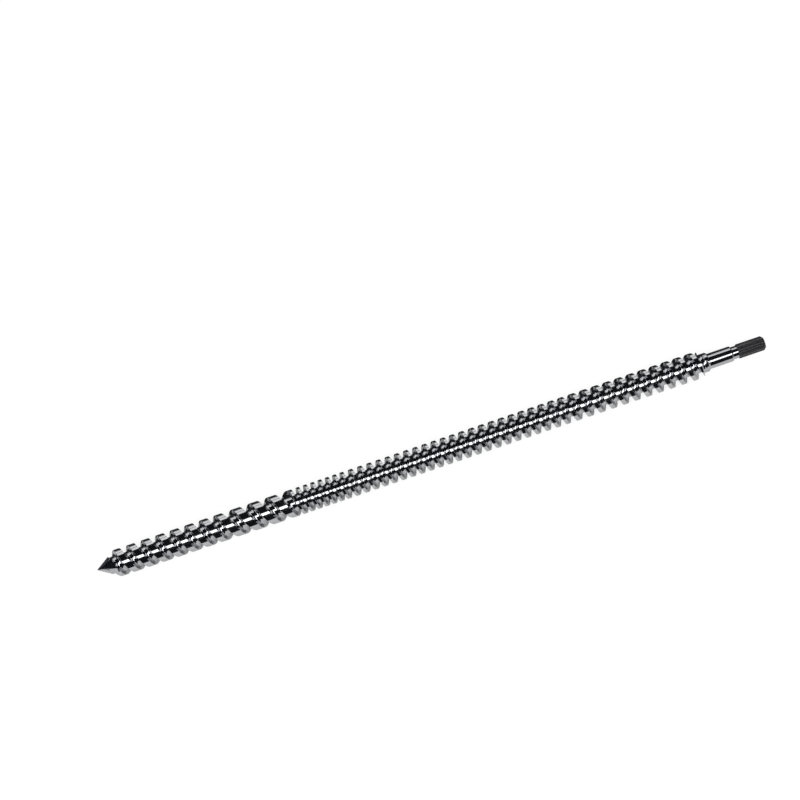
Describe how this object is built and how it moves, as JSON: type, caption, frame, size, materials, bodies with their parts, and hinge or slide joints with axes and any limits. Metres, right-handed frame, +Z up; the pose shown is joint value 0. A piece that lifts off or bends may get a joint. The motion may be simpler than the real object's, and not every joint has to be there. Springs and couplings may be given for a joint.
{
  "type": "extruder screw",
  "caption": "Long extruder screw with zones of helical flights, a conical tip, a plain shank and a splined drive end, lying on its side.",
  "frame": {"origin": "on the floor that the screw lies on, under the middle of its length and under its axis", "axes": "+X along the screw's axis, from the pointed tip to the splined drive end; +Z up from the floor"},
  "size_m": [1.887, 0.074, 0.0741],
  "materials": {
    "polished_steel": "ground and mirror polished",
    "spline_steel": "dark, matt, as milled"
  },
  "bodies": {
    "root": {"screw": "polished_steel"}
  },
  "joints": []
}
